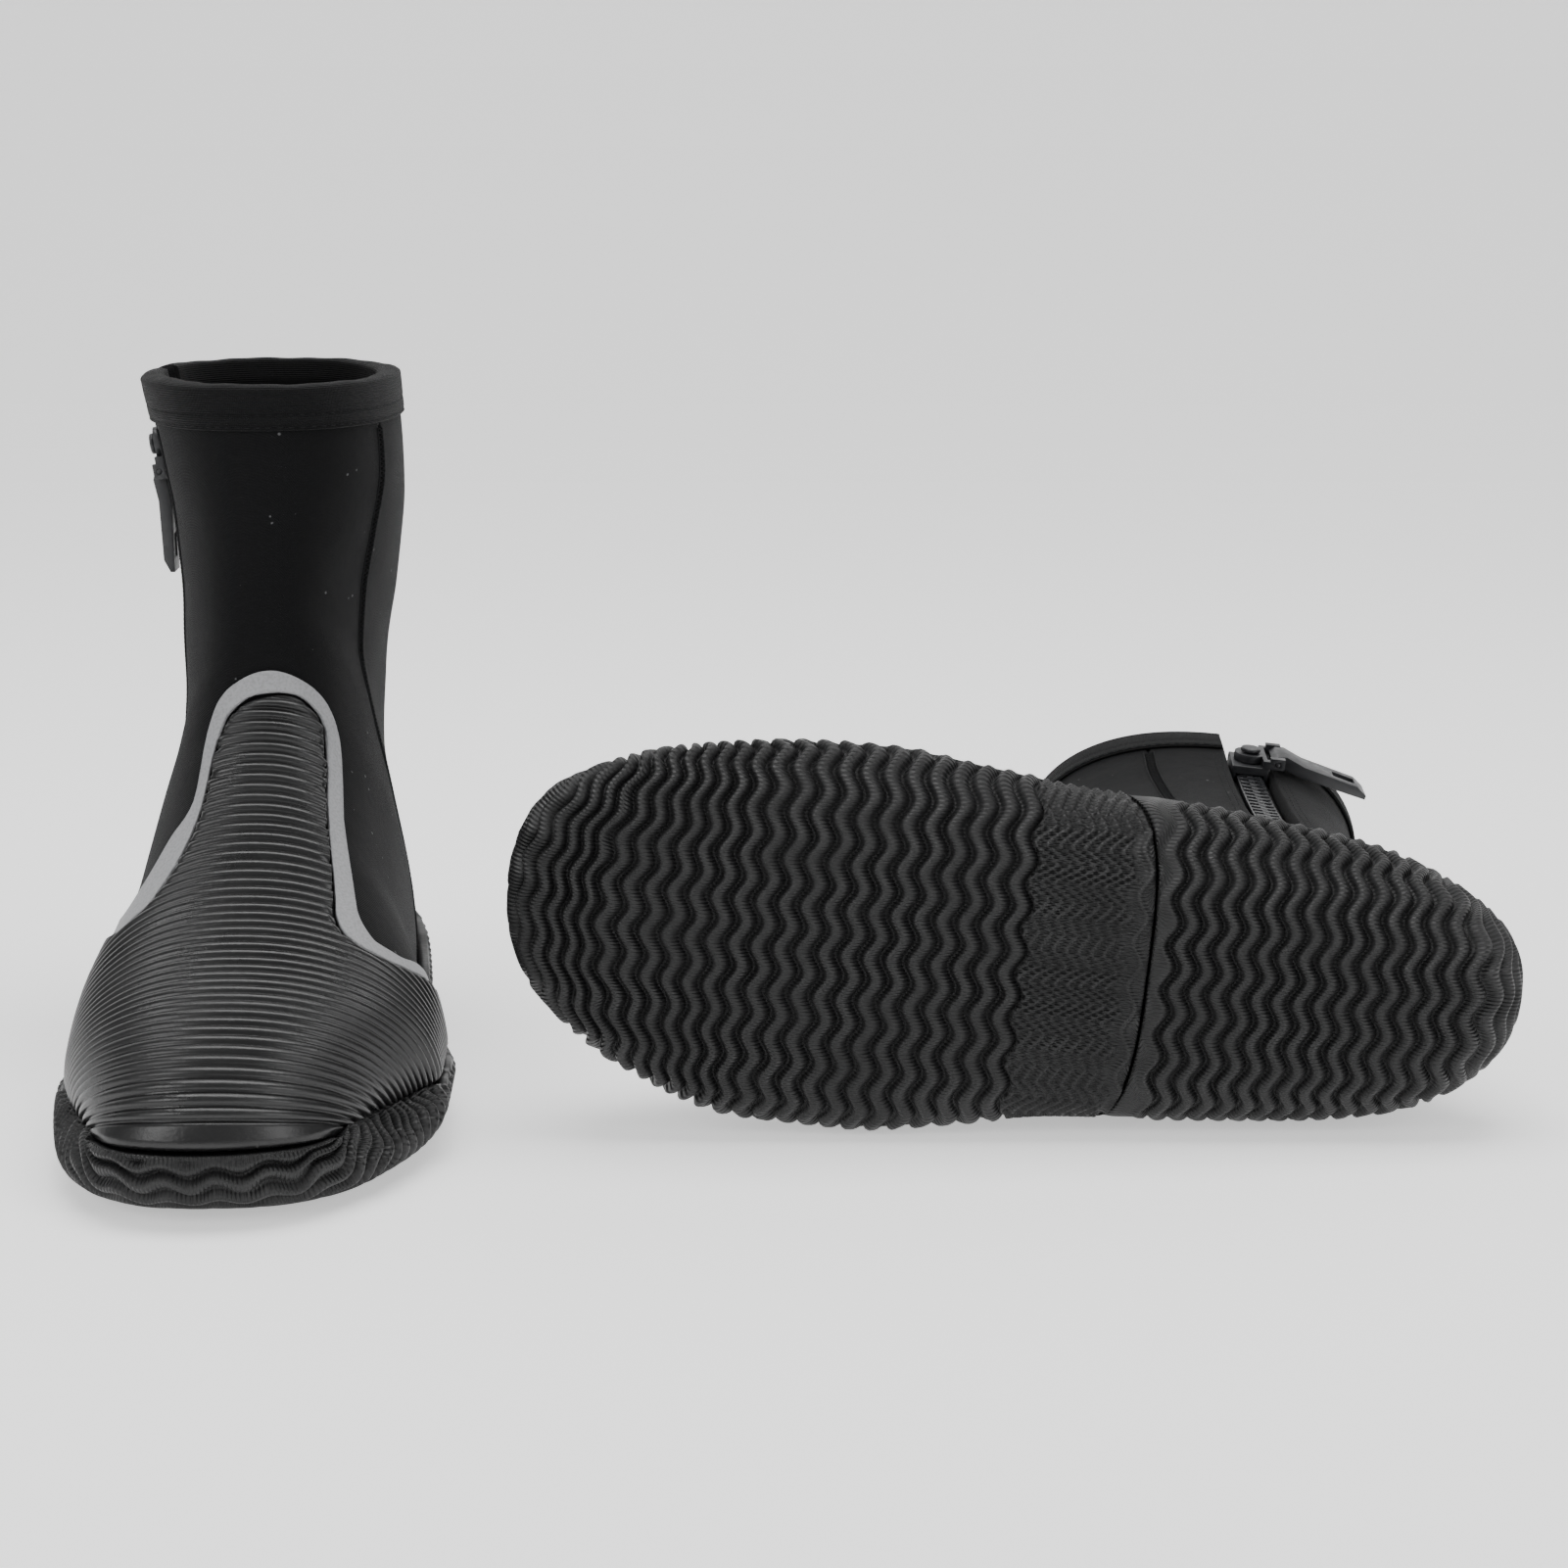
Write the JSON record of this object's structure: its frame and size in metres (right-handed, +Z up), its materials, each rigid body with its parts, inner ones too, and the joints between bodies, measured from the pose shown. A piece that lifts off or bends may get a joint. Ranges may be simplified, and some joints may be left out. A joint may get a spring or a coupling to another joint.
{
  "type": "neoprene boots",
  "caption": "Ankle-high neoprene wetsuit boots with a side zip, ribbed toe overlay and cleated rubber sole, one standing and one lying on its side.",
  "frame": {"origin": "centre of the underside of the pair, on the floor", "axes": "+X from the standing left boot to the lying right boot, +Y from the toe of the standing boot to its heel, +Z up"},
  "size_m": [0.438, 0.3064, 0.2181],
  "materials": {
    "neoprene": "matte",
    "lining": "matte",
    "binding": "matte",
    "overlay_rubber": "satin",
    "trim_rubber": "matte",
    "outsole_rubber": "satin",
    "footbed": "matte",
    "zip_tape": "matte",
    "zip_plastic": "satin",
    "pull_plastic": "satin",
    "pin_metal": "satin"
  },
  "bodies": {
    "left_boot": {"left_front_panel": "neoprene", "left_medial_panel": "neoprene", "left_rear_panel": "neoprene", "left_sole_sock": "lining", "left_collar_binding": "binding", "left_toe_overlay": "overlay_rubber", "left_instep_trim": "trim_rubber", "left_outsole_front": "outsole_rubber", "left_outsole_heel": "outsole_rubber", "left_footbed": "footbed", "left_zip_gusset": "lining", "left_zip_tape_front": "zip_tape", "left_zip_tape_rear": "zip_tape", "left_zip_teeth_front": "zip_plastic", "left_zip_teeth_rear": "zip_plastic", "left_zip_bottom_stop": "zip_plastic", "left_zip_top_stop_front": "zip_plastic", "left_zip_top_stop_rear": "zip_plastic"},
    "left_slider": {"left_zip_slider": "pull_plastic"},
    "left_pull_crown": {"left_pull_crown": "pull_plastic", "left_pull_pin": "pin_metal"},
    "left_pull_tab": {"left_pull_tab": "pull_plastic"},
    "right_boot": {"right_front_panel": "neoprene", "right_medial_panel": "neoprene", "right_rear_panel": "neoprene", "right_sole_sock": "lining", "right_collar_binding": "binding", "right_toe_overlay": "overlay_rubber", "right_instep_trim": "trim_rubber", "right_outsole_front": "outsole_rubber", "right_outsole_heel": "outsole_rubber", "right_footbed": "footbed", "right_zip_gusset": "lining", "right_zip_tape_front": "zip_tape", "right_zip_tape_rear": "zip_tape", "right_zip_teeth_front": "zip_plastic", "right_zip_teeth_rear": "zip_plastic", "right_zip_bottom_stop": "zip_plastic", "right_zip_top_stop_front": "zip_plastic", "right_zip_top_stop_rear": "zip_plastic"},
    "right_slider": {"right_zip_slider": "pull_plastic"},
    "right_pull_crown": {"right_pull_crown": "pull_plastic", "right_pull_pin": "pin_metal"},
    "right_pull_tab": {"right_pull_tab": "pull_plastic"}
  },
  "joints": [
    {"name": "right_boot_lift", "type": "slide", "parent": "left_boot", "child": "right_boot", "axis": [0, 0, 1], "range_m": [0, 0.12]},
    {"name": "left_zip_run", "type": "hinge", "parent": "left_boot", "child": "left_slider", "pos_m": [-0.71781, 0.06627, 0.112], "axis": [-0.0366, 0.9993, 0], "range_deg": [0, 12]},
    {"name": "left_pull_swivel", "type": "hinge", "parent": "left_slider", "child": "left_pull_crown", "pos_m": [-0.20445, 0.08509, 0.1927], "axis": [-0.9872, -0.0362, -0.1552], "range_deg": [-90, 90]},
    {"name": "left_tab_lift", "type": "hinge", "parent": "left_pull_crown", "child": "left_pull_tab", "pos_m": [-0.20598, 0.08503, 0.18375], "axis": [-0.0366, 0.9993, 0], "range_deg": [0, 110]},
    {"name": "right_zip_run", "type": "hinge", "parent": "right_boot", "child": "right_slider", "pos_m": [0.2153, 0.05659, 0.5913], "axis": [-0.9936, 0.0052, 0.1132], "range_deg": [0, 12]},
    {"name": "right_pull_swivel", "type": "hinge", "parent": "right_slider", "child": "right_pull_crown", "pos_m": [0.15727, 0.12323, 0.07886], "axis": [0.1116, -0.1281, 0.9855], "range_deg": [-25, 10]},
    {"name": "right_tab_lift", "type": "hinge", "parent": "right_pull_crown", "child": "right_pull_tab", "pos_m": [0.16614, 0.12281, 0.08074], "axis": [-0.0196, -0.9917, -0.1267], "range_deg": [0, 110]}
  ]
}
